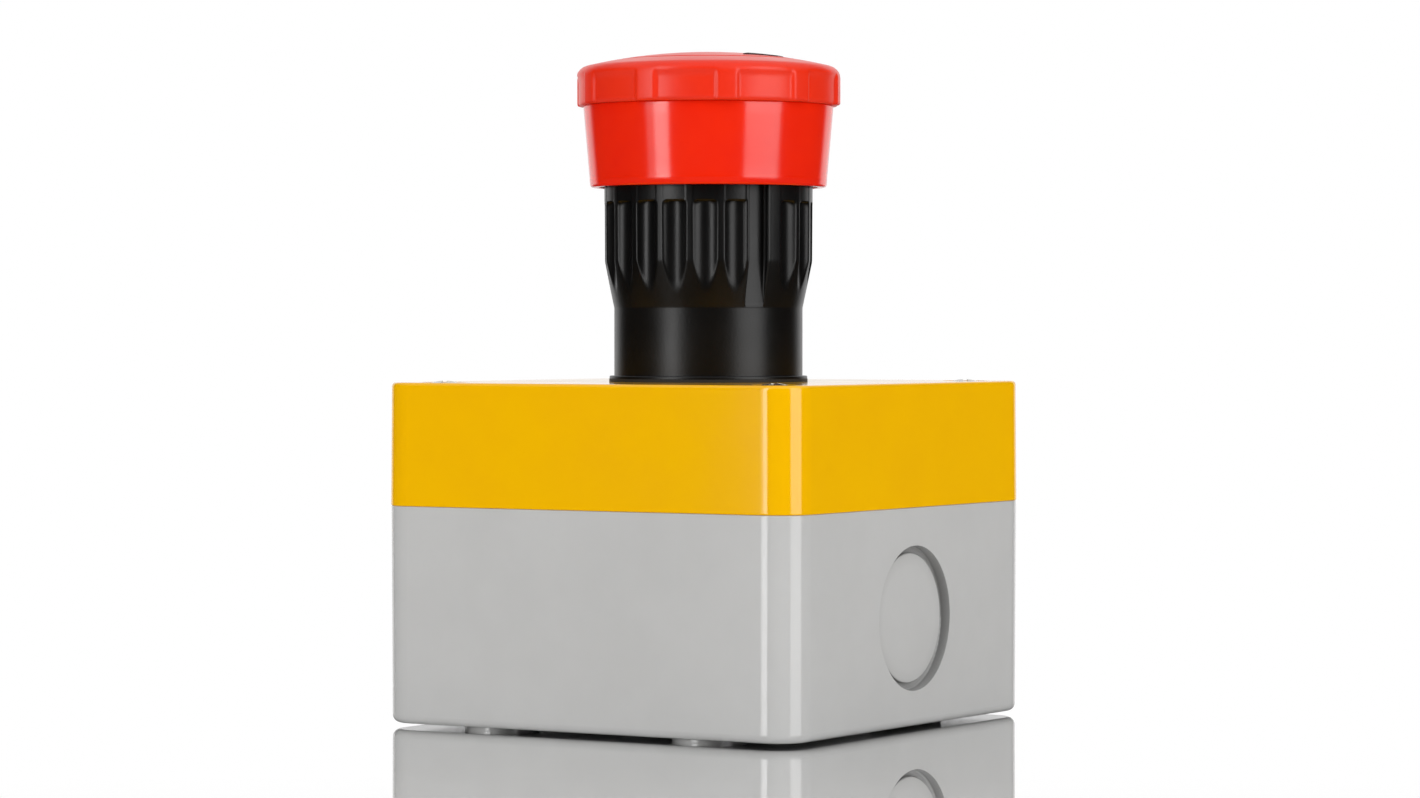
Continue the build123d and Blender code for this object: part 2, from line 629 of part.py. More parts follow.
def arrow_shape(low, high):
    """Two curved arrows that point clockwise, as one tool between two heights."""
    middle = (ARROW_INNER + ARROW_OUTER) / 2
    shape = None
    for turn in (0, 180):
        band = arrow_sector(ARROW_INNER, ARROW_OUTER, low, high, -1, ARROW_SWEEP)
        head_corners = [
            (ARROW_INNER - ARROW_BARB, 0),
            (ARROW_OUTER + ARROW_BARB, 0),
            (middle, -ARROW_HEAD),
        ]
        head = extrude(make_face(Polyline(*head_corners, close=True)), high - low)
        one = Rot(0, 0, ARROW_PHASE + turn) * (band + Pos(0, 0, low) * head)
        shape = one if shape is None else shape + one
    return shape


def make_marker_disc():
    """Domed centre disc of the head, cut out where the arrows lie."""
    disc_body = disc(DISC_RADIUS, DISC_BOTTOM_Z, CAP_TOP_Z + 1)
    dome = Pos(0, 0, CAP_TOP_Z - DOME_RADIUS) * Sphere(DOME_RADIUS)
    return (disc_body & dome) - disc_rim_groove() - arrow_shape(CAP_TOP_Z - 1.3, CAP_TOP_Z + 1)


def make_release_arrows():
    """Inlaid curved arrows that show the turning direction for release."""
    dome = Pos(0, 0, CAP_TOP_Z - DOME_RADIUS + ARROW_PROUD) * Sphere(DOME_RADIUS)
    return arrow_shape(CAP_TOP_Z - 1.3, CAP_TOP_Z + 1) & dome


def make_twist_spring():
    """Spring round the hub that turns the head back after release."""
    return helical_spring(7.3, 0.35, SPRING_PLATE_Z + SPRING_PLATE_THICKNESS + 0.05, CAP_WEB_Z, 4)


# ---------------------------------------------------------------- build and write
def make_parts():
    """Every node of the assembly, by name."""
    parts = {
        "enclosure_base": make_base(),
        "enclosure_cover": make_cover(),
        "cover_gasket": make_cover_gasket(),
        "cover_screws": make_cover_screws(),
        "panel_seal": make_panel_seal(),
        "guard_collar": make_guard_collar(),
        "actuator_body": make_actuator_body(),
        "stem_seal": make_stem_seal(),
        "mounting_nut": make_mounting_nut(),
        "lock_washer": make_lock_washer(),
        "contact_adapter": make_contact_adapter(),
        "adapter_screws": make_adapter_screws(),
        "return_spring": make_return_spring(),
        "push_stem": make_push_stem(),
        "contact_pusher": make_contact_pusher(),
        "head_clip": make_head_clip(),
        "latch_spring": make_latch_spring(),
        "mushroom_cap": make_mushroom_cap(),
        "mushroom_skirt": make_mushroom_skirt(),
        "marker_disc": make_marker_disc(),
        "release_arrows": make_release_arrows(),
        "twist_spring": make_twist_spring(),
    }
    for name, side in SIDES.items():
        parts[f"contact_housing_{name}"] = make_contact_housing(side)
        parts[f"contact_side_cover_{name}"] = make_side_cover(side)
        parts[f"fixed_contacts_{name}"] = make_fixed_contacts(side)
        parts[f"terminal_clamps_{name}"] = make_terminal_clamps(side)
        parts[f"terminal_screws_{name}"] = make_terminal_screws(side)
        parts[f"contact_plunger_{name}"] = make_plunger(side)
        parts[f"contact_bridge_{name}"] = make_bridge(side)
        parts[f"contact_spring_{name}"] = make_contact_spring(side)
        parts[f"latch_pin_{name}"] = make_latch_pin(side)
    return parts


os.makedirs("parts", exist_ok=True)
for node_name, node_shape in make_parts().items():
    export_step(node_shape, f"parts/{node_name}.step")
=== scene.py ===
# %% [markdown]
# # An emergency stop station in moulded plastic
#
# The object is a small control station: a light grey base, a yellow cover, a black fluted
# neck and a red mushroom head that is pressed to stop a machine and turned to release it.
# Its construction comes as a fixed frame of named pieces, each at its real place and size.
# This lesson gives every piece its finish, and rebuilds in finer meshes the ones that
# the eye reads first. Each step says what the piece is, how it could be made, and why this
# way was taken.

# %% Load the frame
import bpy
import bmesh
import json
from math import atan2, cos, degrees, hypot, pi, radians, sin, sqrt
from mathutils import Matrix, Vector


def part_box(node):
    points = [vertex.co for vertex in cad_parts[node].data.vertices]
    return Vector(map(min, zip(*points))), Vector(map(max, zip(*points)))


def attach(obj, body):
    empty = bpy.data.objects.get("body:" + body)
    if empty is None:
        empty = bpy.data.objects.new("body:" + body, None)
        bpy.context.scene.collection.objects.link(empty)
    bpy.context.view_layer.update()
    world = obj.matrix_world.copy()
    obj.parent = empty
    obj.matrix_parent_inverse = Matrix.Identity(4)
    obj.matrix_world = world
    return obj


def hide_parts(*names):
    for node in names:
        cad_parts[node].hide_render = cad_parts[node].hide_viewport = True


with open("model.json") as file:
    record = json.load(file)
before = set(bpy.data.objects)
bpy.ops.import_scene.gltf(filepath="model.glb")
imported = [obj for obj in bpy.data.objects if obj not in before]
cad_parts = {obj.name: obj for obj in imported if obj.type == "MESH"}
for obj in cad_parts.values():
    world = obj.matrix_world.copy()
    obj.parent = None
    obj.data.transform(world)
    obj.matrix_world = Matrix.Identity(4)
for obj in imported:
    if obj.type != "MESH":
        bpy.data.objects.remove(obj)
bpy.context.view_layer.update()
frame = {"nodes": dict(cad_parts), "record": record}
nodes = frame["nodes"]
MM = 0.001                                   # the frame is in metres

# %% [markdown]
# ## The camera and the studio
#
# A small product is usually shown through a long lens from a little way off, so that upright
# edges stay upright and near parallel. A 113 mm lens at about 0.67 m, with its axis almost
# level, gives that look. A shifted lens could place the object in the view, but tilting the
# camera down by one degree does the same and keeps the setup plain.

# %% Camera
VIEW_AZIMUTH = radians(31.5)
CAMERA_DISTANCE = 0.6743
CAMERA_HEIGHT = 0.0594
CAMERA_PITCH = radians(0.93)
AIM_OFFSET = 0.00024                         # to the right, so the object stands centred
FOCAL_LENGTH = 113.04                        # in mm, on a sensor 36 mm wide

back = Vector((sin(VIEW_AZIMUTH), -cos(VIEW_AZIMUTH), 0))
right = Vector((cos(VIEW_AZIMUTH), sin(VIEW_AZIMUTH), 0))
look = (-back * cos(CAMERA_PITCH) + Vector((0, 0, -sin(CAMERA_PITCH)))).normalized()

camera_data = bpy.data.cameras.new("camera")
camera_data.lens = FOCAL_LENGTH
camera_data.sensor_width = 36.0
camera = bpy.data.objects.new("camera", camera_data)
camera.location = back * CAMERA_DISTANCE + right * AIM_OFFSET + Vector((0, 0, CAMERA_HEIGHT))
camera.rotation_mode = "QUATERNION"
camera.rotation_quaternion = look.to_track_quat("-Z", "Y")
camera_data.clip_start = 0.01
bpy.context.scene.collection.objects.link(camera)
bpy.context.scene.camera = camera
print("camera above the table, mm:", round(CAMERA_HEIGHT / MM, 1))

# %% [markdown]
# One small helper makes every shader node in this lesson. It adds the node, sets its
# properties and socket values by name, and links what is given as an output socket. A colour
# is written as the sRGB hex value that a colour picker shows, and one function turns it to the
# linear values that a shader needs.

# %% Helpers for node trees
def add(tree, kind, **settings):
    """Adds one shader node. Sockets are named by their label with _ for a space."""
    node = tree.nodes.new(kind)
    sockets = {s.name.replace(" ", "_"): s for s in reversed(node.inputs)}
    for name, value in settings.items():
        if name.startswith("in") and name[2:].isdigit():
            target = node.inputs[int(name[2:])]
        elif name in sockets and not hasattr(type(node), name):
            target = sockets[name]
        else:
            setattr(node, name, value)
            continue
        if isinstance(value, bpy.types.NodeSocket):
            tree.links.new(value, target)
        else:
            target.default_value = value
    return node


def linear(hex_colour):
    """Linear RGBA of an sRGB hex colour such as "F0BA00"."""
    channels = [int(hex_colour[i:i + 2], 16) / 255 for i in (0, 2, 4)]
    return [c / 12.92 if c <= 0.04045 else ((c + 0.055) / 1.055) ** 2.4 for c in channels] + [1.0]


# %% [markdown]
# The studio is a bright backdrop behind the object and near darkness round the camera. That is
# why the black neck looks black, with only two clean streaks from the softboxes and a thin
# bright rim on each side. The world shader makes it from the direction alone: bright within
# 40 degrees of the camera's line of sight, and softly lit overhead. The camera itself sees plain
# white wherever it looks past the object.

# %% World
BACKDROP_FADE = (45, 35)                     # degrees off the line of sight, from dark to bright
OVERHEAD_FADE = (20, 60)                     # degrees above level
ROOM_LEVEL = 0.012
OVERHEAD_LEVEL = 0.8

world = bpy.data.worlds.new("studio")
bpy.context.scene.world = world
world.use_nodes = True
tree = world.node_tree
tree.nodes.clear()
direction = add(tree, "ShaderNodeTexCoord").outputs["Generated"]
behind = add(tree, "ShaderNodeVectorMath", operation="DOT_PRODUCT", in0=direction, in1=-back)
backdrop = add(tree, "ShaderNodeMapRange", interpolation_type="SMOOTHSTEP", in0=behind.outputs["Value"],
               in1=cos(radians(BACKDROP_FADE[0])), in2=cos(radians(BACKDROP_FADE[1])), in3=0.0, in4=1.0)
up = add(tree, "ShaderNodeSeparateXYZ", in0=direction)
overhead = add(tree, "ShaderNodeMapRange", interpolation_type="SMOOTHSTEP", in0=up.outputs["Z"],
               in1=sin(radians(OVERHEAD_FADE[0])), in2=sin(radians(OVERHEAD_FADE[1])),
               in3=ROOM_LEVEL, in4=OVERHEAD_LEVEL)
level = add(tree, "ShaderNodeMath", operation="MAXIMUM", in0=backdrop.outputs[0], in1=overhead.outputs[0])
lit = add(tree, "ShaderNodeBackground", Color=(1, 1, 1, 1), Strength=level.outputs[0])
white = add(tree, "ShaderNodeBackground", Color=(1, 1, 1, 1), Strength=1.0)
rays = add(tree, "ShaderNodeLightPath")
mixed = add(tree, "ShaderNodeMixShader", in0=rays.outputs["Is Camera Ray"], in1=lit.outputs[0],
            in2=white.outputs[0])
add(tree, "ShaderNodeOutputWorld", Surface=mixed.outputs[0])
print("world nodes:", len(tree.nodes))

# %% [markdown]
# Two tall softboxes stand left and right of the camera. Their angles follow from the streaks:
# on an upright cylinder, a streak at an angle A from the middle comes from a light at 2A.
# The left box is narrow and bright, with a weaker outer edge that lets its streak fade out on
# that side. The right one is wider and even. Point lights with glossy spheres round them
# could make the same streaks, but an area light has an even face and sharp edges for free.

# %% Softboxes
LIGHT_DISTANCE = 0.9
LIGHT_RISE = 0.42                            # share of a box's height that its middle stands at


def softbox(name, angle, width, height, strength):
    """Tall area light at an angle, in degrees, to the right of the camera's line of sight."""
    turn = radians(angle)
    towards = back * cos(turn) + right * sin(turn)
    data = bpy.data.lights.new(name, "AREA")
    data.shape = "RECTANGLE"
    data.size = width
    data.size_y = height
    data.energy = strength * width * height * pi
    light = bpy.data.objects.new(name, data)
    light.location = towards * LIGHT_DISTANCE + Vector((0, 0, height * LIGHT_RISE))
    light.rotation_mode = "QUATERNION"
    light.rotation_quaternion = (-towards).to_track_quat("-Z", "Y")
    bpy.context.scene.collection.objects.link(light)
    print(name, "power, W:", round(data.energy, 2))


softbox("softbox_left", -44, 0.22, 1.1, 5.6)
softbox("softbox_left_edge", -55, 0.13, 1.1, 1.6)
softbox("softbox_right", 52, 0.58, 1.1, 3.1)

# %% [markdown]
# The table is a sheet of glossy white acrylic. Seen almost along its surface it is a clean
# mirror, and seen from above it is plain white, so the material turns from one to the other
# with the viewing slope, which is what Layer Weight measures. A plain glossy sheet could stand in
# for it, but would mirror too weakly at this low angle. The object's own reflections see the steep
# part of the table as dark, which keeps the black neck black. The soft light that the table
# throws back up is that of a white sheet.

# %% Table
TABLE_HALF = 3.0
MIRROR_SLOPE = (0.78, 0.9)                   # Layer Weight values, from plain white to full mirror
TABLE_WHITE = 0.9
TABLE_DARK = 0.02


def make_table():
    mesh = bpy.data.meshes.new("table")
    shape = bmesh.new()
    bmesh.ops.create_grid(shape, x_segments=1, y_segments=1, size=TABLE_HALF)
    shape.to_mesh(mesh)
    shape.free()
    table = bpy.data.objects.new("table", mesh)
    bpy.context.scene.collection.objects.link(table)
    acrylic = bpy.data.materials.new("white_acrylic_sheet")
    acrylic.use_nodes = True
    tree = acrylic.node_tree
    tree.nodes.clear()
    slope = add(tree, "ShaderNodeLayerWeight", Blend=0.5)
    mirror_share = add(tree, "ShaderNodeMapRange", in0=slope.outputs["Facing"], in1=MIRROR_SLOPE[0],
                       in2=MIRROR_SLOPE[1], in3=0.0, in4=1.0)
    rays = add(tree, "ShaderNodeLightPath").outputs
    thrown = add(tree, "ShaderNodeMath", operation="MULTIPLY_ADD", in0=rays["Is Diffuse Ray"],
                 in1=TABLE_WHITE, in2=TABLE_DARK)
    white = add(tree, "ShaderNodeMath", operation="MULTIPLY_ADD", in0=rays["Is Camera Ray"],
                in1=TABLE_WHITE, in2=thrown.outputs[0])
    matt = add(tree, "ShaderNodeBsdfDiffuse", Color=white.outputs[0])
    mirror = add(tree, "ShaderNodeBsdfGlossy", Color=(1, 1, 1, 1), Roughness=0.0)
    both = add(tree, "ShaderNodeMixShader", in0=mirror_share.outputs[0], in1=matt.outputs[0],
               in2=mirror.outputs[0])
    add(tree, "ShaderNodeOutputMaterial", Surface=both.outputs[0])
    mesh.materials.append(acrylic)
    print("table, m:", 2 * TABLE_HALF, "square")


make_table()
bpy.context.scene.view_settings.view_transform = "Standard"

# %% [markdown]
# ## Finishes
#
# Nearly all of the object is injection-moulded plastic, and moulded plastic is never one flat
# colour. The melt leaves faint clouds, the steel mould leaves a fine spark-eroded grain, large
# walls are a few microns out of flat, and no edge is perfectly sharp. An image texture could
# carry all that, but noise at real sizes needs no unwrapping and stays sharp at any distance.
# One recipe serves every moulded resin here, and each resin gives it its own colours, gloss and
# grain. All sizes are in millimetres and read Object coordinates, which are in metres.

# %% Moulded plastic
CLOUD_SIZE = 14.0                            # mm, uneven pigment in the melt
SPECK_SIZE = 0.7                             # mm, pigment specks
WALL_WAVE = 9.0                              # mm from one faint hump of a wall to the next
WAVE_DEPTH = 0.006                           # mm
HOLLOW_REACH = 3.0                           # mm, how far the painted shade of a hollow reaches
EDGE_SAMPLES = 4


def start_finish(name):
    """An empty node material and its Object coordinates."""
    finish = bpy.data.materials.new(name)
    finish.use_nodes = True
    finish.node_tree.nodes.clear()
    place = add(finish.node_tree, "ShaderNodeTexCoord").outputs["Object"]
    return finish, finish.node_tree, place


def moulded(name, colour, cloud, gloss, grain, depth, ior=1.5, edge=0.12, haze=0.0, painted_shade=0.0):
    """Moulded resin. gloss is the (low, high) roughness; grain, depth and edge are in mm."""
    finish, tree, place = start_finish(name)
    clouds = add(tree, "ShaderNodeTexNoise", Vector=place, Scale=1 / (CLOUD_SIZE * MM), Detail=3.0,
                 Roughness=0.6)
    specks = add(tree, "ShaderNodeTexNoise", Vector=place, Scale=1 / (SPECK_SIZE * MM), Detail=2.0,
                 Roughness=0.7)
    share = add(tree, "ShaderNodeMapRange", in0=clouds.outputs["Fac"], in1=0.35, in2=0.7, in3=0.0, in4=0.8)
    speck_share = add(tree, "ShaderNodeMapRange", in0=specks.outputs["Fac"], in1=0.55, in2=0.8, in3=0.0,
                      in4=0.5)
    both = add(tree, "ShaderNodeMath", operation="MAXIMUM", in0=share.outputs[0], in1=speck_share.outputs[0])
    tint = add(tree, "ShaderNodeMix", data_type="RGBA", in0=both.outputs[0], in6=linear(colour),
               in7=linear(cloud))
    rough = add(tree, "ShaderNodeMapRange", in0=clouds.outputs["Fac"], in1=0.3, in2=0.7, in3=gloss[0],
                in4=gloss[1])
    soft_edge = add(tree, "ShaderNodeBevel", samples=EDGE_SAMPLES, Radius=edge * MM)
    flatness = add(tree, "ShaderNodeTexNoise", Vector=place, Scale=1 / (WALL_WAVE * MM), Detail=1.0)
    wave = add(tree, "ShaderNodeBump", Strength=1.0, Distance=WAVE_DEPTH * MM, Height=flatness.outputs["Fac"],
               Normal=soft_edge.outputs[0])
    pits = add(tree, "ShaderNodeTexNoise", Vector=place, Scale=1 / (grain * MM), Detail=3.0, Roughness=0.6)
    skin = add(tree, "ShaderNodeBump", Strength=1.0, Distance=depth * MM, Height=pits.outputs["Fac"],
               Normal=wave.outputs[0])
    surface_colour = tint.outputs[2]
    # painted shade: the colour is darkened in hollow places and corners, as far as the ambient occlusion
    # there reaches
    if painted_shade:
        hollow_shade = add(tree, "ShaderNodeAmbientOcclusion", samples=8, only_local=True, Color=surface_colour,
                      Distance=HOLLOW_REACH * MM)
        surface_colour = add(tree, "ShaderNodeMix", data_type="RGBA", in0=painted_shade, in6=surface_colour,
                             in7=hollow_shade.outputs["Color"]).outputs[2]
    resin = add(tree, "ShaderNodeBsdfPrincipled", Base_Color=surface_colour, Roughness=rough.outputs[0],
                IOR=ior, Normal=skin.outputs[0], Sheen_Weight=haze)
    add(tree, "ShaderNodeOutputMaterial", Surface=resin.outputs[0])
    return finish


finishes = {}

# %% [markdown]
# The enclosure is ABS, moulded in two colours. ABS is glossy enough for a clean vertical streak on
# each rounded corner, while its flat walls look even. Its refractive index is about 1.5. The grain
# is drawn at 0.5 mm, two or three times as coarse as the real one, so that it shows at all. On the
# pale grey, shade is painted into the colour of recessed places, such as the groove of a knock-out.

# %% ABS finishes
# the light grey takes painted shade: its colour darkens in recessed places, by ambient occlusion
finishes["grey_abs"] = moulded(
    "light_grey_abs_moulded", "C5C5C4", "C0C0BF", (0.09, 0.13), 0.5, 0.0004, painted_shade=0.7)
finishes["yellow_abs"] = moulded(
    "signal_yellow_abs_moulded", "F9BC00", "F6B700", (0.07, 0.1), 0.5, 0.0003)
print("enclosure finishes:", [finish.name for finish in finishes.values()])

# %% [markdown]
# The head is a pair of red mouldings with different mould surfaces. The ring and dome are satin,
# so fingers grip them, and the long skirt below is polished. Signal red has almost no blue or
# green in it, and what looks pink on it is only the reflection of the lights. The arrows are a
# matt ink, so dark a red that it is nearly black.

# %% Red finishes
finishes["red_satin_plastic"] = moulded(
    "signal_red_abs_satin", "F2300E", "EB270A", (0.28, 0.36), 0.35, 0.0025, ior=1.42, edge=0.3)
finishes["red_gloss_plastic"] = moulded(
    "signal_red_abs_polished", "F62808", "EF1E04", (0.12, 0.17), 0.8, 0.0006, ior=1.56)
finishes["dark_red_marking"] = moulded(
    "dark_red_inlay", "300A06", "280805", (0.55, 0.65), 0.3, 0.002, ior=1.3)
finishes["red_plunger_plastic"] = moulded(
    "red_polyamide_plunger", "C02818", "B02012", (0.22, 0.3), 0.4, 0.0015)
print("finishes so far:", len(finishes))

# %% [markdown]
# The neck, the bushing and its nut are glass-filled nylon. The short fibres show as a slightly
# uneven satin skin. The contact blocks are a dark grey grade of the same resin.

# %% Nylon finishes
finishes["black_nylon"] = moulded(
    "black_glass_filled_nylon", "050506", "09090A", (0.29, 0.37), 0.3, 0.012, ior=1.42)
finishes["dark_grey_nylon"] = moulded(
    "dark_grey_glass_filled_nylon", "3E4144", "484B4F", (0.34, 0.46), 0.4, 0.004)
print("finishes so far:", len(finishes))

# %% [markdown]
# The seals are black nitrile rubber. Rubber is rougher than any plastic here and carries a pale
# dusty bloom, so its recipe takes a little sheen and much deeper, finer pits.

# %% Rubber finish
finishes["black_rubber"] = moulded(
    "black_nitrile_rubber", "141414", "1E1E1D", (0.55, 0.72), 0.25, 0.006, haze=0.08)
print("finishes so far:", len(finishes))

# %% [markdown]
# The metal pieces are small stampings, turned screws and wire. A metal's look is all in its
# reflection, so its recipe varies the roughness instead of the colour, and stretches the noise
# along one direction to draw the marks of the tool: rolled lines on strip, drawn lines on wire.
# Zinc plating also has a faint blue and straw tint, which drifts over a few millimetres.

# %% Metal finishes
DRIFT_SIZE = 2.5                             # mm, slow change of tint in the plating
METAL_EDGE = 0.08                            # mm


def worked_metal(name, colour, tint, gloss, stretch, spacing, depth):
    """Rolled, drawn or plated metal. stretch says how long the tool marks are on each axis."""
    finish, tree, place = start_finish(name)
    drift = add(tree, "ShaderNodeTexNoise", Vector=place, Scale=1 / (DRIFT_SIZE * MM), Detail=2.0)
    share = add(tree, "ShaderNodeMapRange", in0=drift.outputs["Fac"], in1=0.35, in2=0.65, in3=0.0, in4=1.0)
    shade = add(tree, "ShaderNodeMix", data_type="RGBA", in0=share.outputs[0], in6=linear(colour),
                in7=linear(tint))
    along = add(tree, "ShaderNodeMapping", Vector=place, Scale=stretch)
    marks = add(tree, "ShaderNodeTexNoise", Vector=along.outputs[0], Scale=1 / (spacing * MM), Detail=4.0,
                Roughness=0.65)
    rough = add(tree, "ShaderNodeMapRange", in0=marks.outputs["Fac"], in1=0.3, in2=0.7, in3=gloss[0],
                in4=gloss[1])
    soft_edge = add(tree, "ShaderNodeBevel", samples=EDGE_SAMPLES, Radius=METAL_EDGE * MM)
    lines = add(tree, "ShaderNodeBump", Strength=1.0, Distance=depth * MM, Height=marks.outputs["Fac"],
                Normal=soft_edge.outputs[0])
    metal = add(tree, "ShaderNodeBsdfPrincipled", Base_Color=shade.outputs[2], Metallic=1.0,
                Roughness=rough.outputs[0], Normal=lines.outputs[0])
    add(tree, "ShaderNodeOutputMaterial", Surface=metal.outputs[0])
    return finish


finishes["screw_steel"] = worked_metal(
    "zinc_plated_steel", "C3C5C7", "CCC6B4", (0.2, 0.36), (1, 1, 1), 0.4, 0.0015)
finishes["spring_steel"] = worked_metal(
    "drawn_spring_steel", "9FA0A2", "8C8882", (0.24, 0.4), (1, 1, 6), 0.12, 0.0015)
finishes["contact_brass"] = worked_metal(
    "rolled_contact_brass", "D9B264", "BE9448", (0.18, 0.36), (6, 0.4, 6), 0.2, 0.0012)
print("finishes so far:", len(finishes))

# %% [markdown]
# The stem and its pusher are turned from white acetal, a waxy resin that lets a little light in.
# Turning leaves rings about 0.25 mm apart round the axis. A wave along Z draws them, six times as
# coarse as the real ones so that they show at all. A wave node makes 20 radians of wave per unit.
# Subsurface scattering of a fraction of a millimetre gives the waxy look.

# %% Acetal finish
RING_SPACING = pi / 2                        # mm
WAVE_RADIANS = 20.0


def turned_acetal():
    finish, tree, place = start_finish("turned_white_acetal")
    clouds = add(tree, "ShaderNodeTexNoise", Vector=place, Scale=1 / (6 * MM), Detail=2.0)
    tint = add(tree, "ShaderNodeMix", data_type="RGBA", in0=clouds.outputs["Fac"], in6=linear("F2F1EA"),
               in7=linear("E9E7DC"))
    rings = add(tree, "ShaderNodeTexWave", wave_type="BANDS", bands_direction="Z", Vector=place,
                Scale=2 * pi / (WAVE_RADIANS * RING_SPACING * MM), Distortion=0.4, Detail=1.0)
    feed = add(tree, "ShaderNodeBump", Strength=1.0, Distance=0.004 * MM, Height=rings.outputs["Fac"])
    rough = add(tree, "ShaderNodeMapRange", in0=rings.outputs["Fac"], in1=0.0, in2=1.0, in3=0.24, in4=0.36)
    resin = add(tree, "ShaderNodeBsdfPrincipled", Base_Color=tint.outputs[2], Roughness=rough.outputs[0],
                IOR=1.48, Subsurface_Weight=0.3, Subsurface_Scale=0.6 * MM, Normal=feed.outputs[0])
    add(tree, "ShaderNodeOutputMaterial", Surface=resin.outputs[0])
    return finish


finishes["white_acetal"] = turned_acetal()
print("turning rings, mm apart:", round(RING_SPACING, 2))

# %% [markdown]
# The contact chambers are closed with clear polycarbonate, so the contacts can be checked by eye.
# It is moulded and almost smooth: a strong refraction with an index of 1.585, a trace of grey, and
# slow flow waves in the surface.

# %% Polycarbonate finish
def clear_sheet():
    finish, tree, place = start_finish("clear_polycarbonate_moulded")
    waves = add(tree, "ShaderNodeTexNoise", Vector=place, Scale=1 / (5 * MM), Detail=2.0)
    flow = add(tree, "ShaderNodeBump", Strength=1.0, Distance=0.02 * MM, Height=waves.outputs["Fac"])
    rough = add(tree, "ShaderNodeMapRange", in0=waves.outputs["Fac"], in1=0.3, in2=0.7, in3=0.03, in4=0.09)
    tint = add(tree, "ShaderNodeMix", data_type="RGBA", in0=waves.outputs["Fac"], in6=linear("F4F7F8"),
               in7=linear("E6ECEE"))
    clear = add(tree, "ShaderNodeBsdfPrincipled", Base_Color=tint.outputs[2], Roughness=rough.outputs[0],
                IOR=1.585, Transmission_Weight=0.95, Normal=flow.outputs[0])
    add(tree, "ShaderNodeOutputMaterial", Surface=clear.outputs[0])
    return finish


finishes["clear_polycarbonate"] = clear_sheet()
print("finishes in all:", len(finishes))

# %% [markdown]
# Every CAD node already knows its material slot, so the finishes are handed out by that name. They
# could be set node by node, but a loop can't forget one.

# %% Dress the frame
for part in frame["record"]["subparts"]:
    for place in nodes[part["node"]].material_slots:
        place.material = finishes[part["material_slot"]]

# %% [markdown]
# ## Turned outlines
#
# Three visible pieces are bodies of revolution with something cut into them: the neck, the ring
# of the head and its skirt. They could be cut with booleans, but those leave ragged rims that
# shade badly. Here each starts as a closed outline in the XZ plane. Its corners are rounded
# with a vertex bevel, its long edges are subdivided where detail follows, and one full spin
# makes the solid. The cut detail is then a smooth move of the spun vertices.

# %% Outline, spin and finish helpers
SHARP_EDGE = radians(38)                     # a steeper edge than this is shaded as a crease


def closed_outline(points, roundings):
    """Wire outline of (radius, height) points in mm; roundings maps a point's index to mm."""
    shape = bmesh.new()
    corners = [shape.verts.new((r * MM, 0, z * MM)) for r, z in points]
    for i, corner in enumerate(corners):
        shape.edges.new((corner, corners[(i + 1) % len(corners)]))
    for index, size in roundings.items():
        bmesh.ops.bevel(shape, geom=[corners[index]], offset=size * MM, offset_type="OFFSET",
                        segments=5 if size > 0.5 else 3, profile=0.5, affect="VERTICES", material=-1)
    return shape


def split_long_edges(shape, longest, low, high, least_radius):
    """Subdivides outline edges between two heights until none is longer than that, in mm."""
    for edge in list(shape.edges):
        a, b = (v.co for v in edge.verts)
        inside = min(a.z, b.z) > low * MM and max(a.z, b.z) < high * MM and min(a.x, b.x) > least_radius * MM
        if inside and edge.calc_length() > longest * MM:
            bmesh.ops.subdivide_edges(shape, edges=[edge], cuts=int(edge.calc_length() / (longest * MM)))


def spin_outline(shape, steps, start=0.0):
    """Turns the wire outline once round Z, from a start angle in degrees."""
    bmesh.ops.rotate(shape, verts=shape.verts[:], cent=(0, 0, 0),
                     matrix=Matrix.Rotation(radians(start), 3, "Z"))
    bmesh.ops.spin(shape, geom=shape.verts[:] + shape.edges[:], cent=(0, 0, 0), axis=(0, 0, 1), angle=2 * pi,
                   steps=steps, use_merge=True, use_duplicate=False)
    bmesh.ops.recalc_face_normals(shape, faces=shape.faces)


def place_piece(shape, name, body, slot_name, node):
    """Makes the object, smooths its faces, and puts it in the frame for a CAD node."""
    for face in shape.faces:
        face.smooth = True
    for edge in shape.edges:
        edge.smooth = not (edge.is_manifold and edge.calc_face_angle() > SHARP_EDGE)
    mesh = bpy.data.meshes.new(name)
    shape.to_mesh(mesh)
    shape.free()
    piece = bpy.data.objects.new(name, mesh)
    bpy.context.scene.collection.objects.link(piece)
    mesh.materials.append(finishes[slot_name])
    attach(piece, body)
    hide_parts(node)
    print(name, "has", len(mesh.polygons), "faces")


def eased(value):
    """0 below 0, 1 above 1, and a smooth ramp between."""
    t = min(1.0, max(0.0, value))
    return t * t * (3 - 2 * t)


def softer_least(a, b, blend):
    """The smaller of two lengths, with the crossing rounded over the blend length."""
    h = max(blend - abs(a - b), 0.0) / blend
    return min(a, b) - h * h * blend * 0.25


# %% [markdown]
# ## The neck
#
# The neck is one long black moulding: a flange, a plain cylinder, a cone, and a wider sleeve with
# a ring of flutes. Each flute is the path of a round cutter of 2.55 mm that stands parallel
# to the axis, so it ends in a flat wall at the top and runs out in a point on the cone. One of the
# 21 places is a square key channel instead. For a point at an angle from a cutter's middle, the cut
# surface lies at D cos(angle) - sqrt(R^2 - D^2 sin^2(angle)) from the axis.

# %% Neck outline
FLUTES = 21
FLUTE_PHASE = -60.1
FLUTE_DEPTH = 0.85
FLUTE_TOP = 78.2
BORE = 12.1
FLANGE = 14.95
NECK = 14.23                                 # radius of the plain cylinder and the channel floor
SLEEVE = 15.7
SLEEVE_MIDDLE = 15.75                        # the sleeve widens a little towards its top
SLEEVE_TOP = 15.8
COLLAR_LOW = 51.55
FLANGE_TOP = 52.0
CONE_LOW = 62.2
CONE_HIGH = 69.2
COLLAR_HIGH = 87.0
CUTTER_RADIUS = 2.55
CUTTER_AXIS = SLEEVE + CUTTER_RADIUS - FLUTE_DEPTH
CHANNEL_ANGLE = -30.0
CHANNEL_HALF = 1.55
COLUMNS = 672

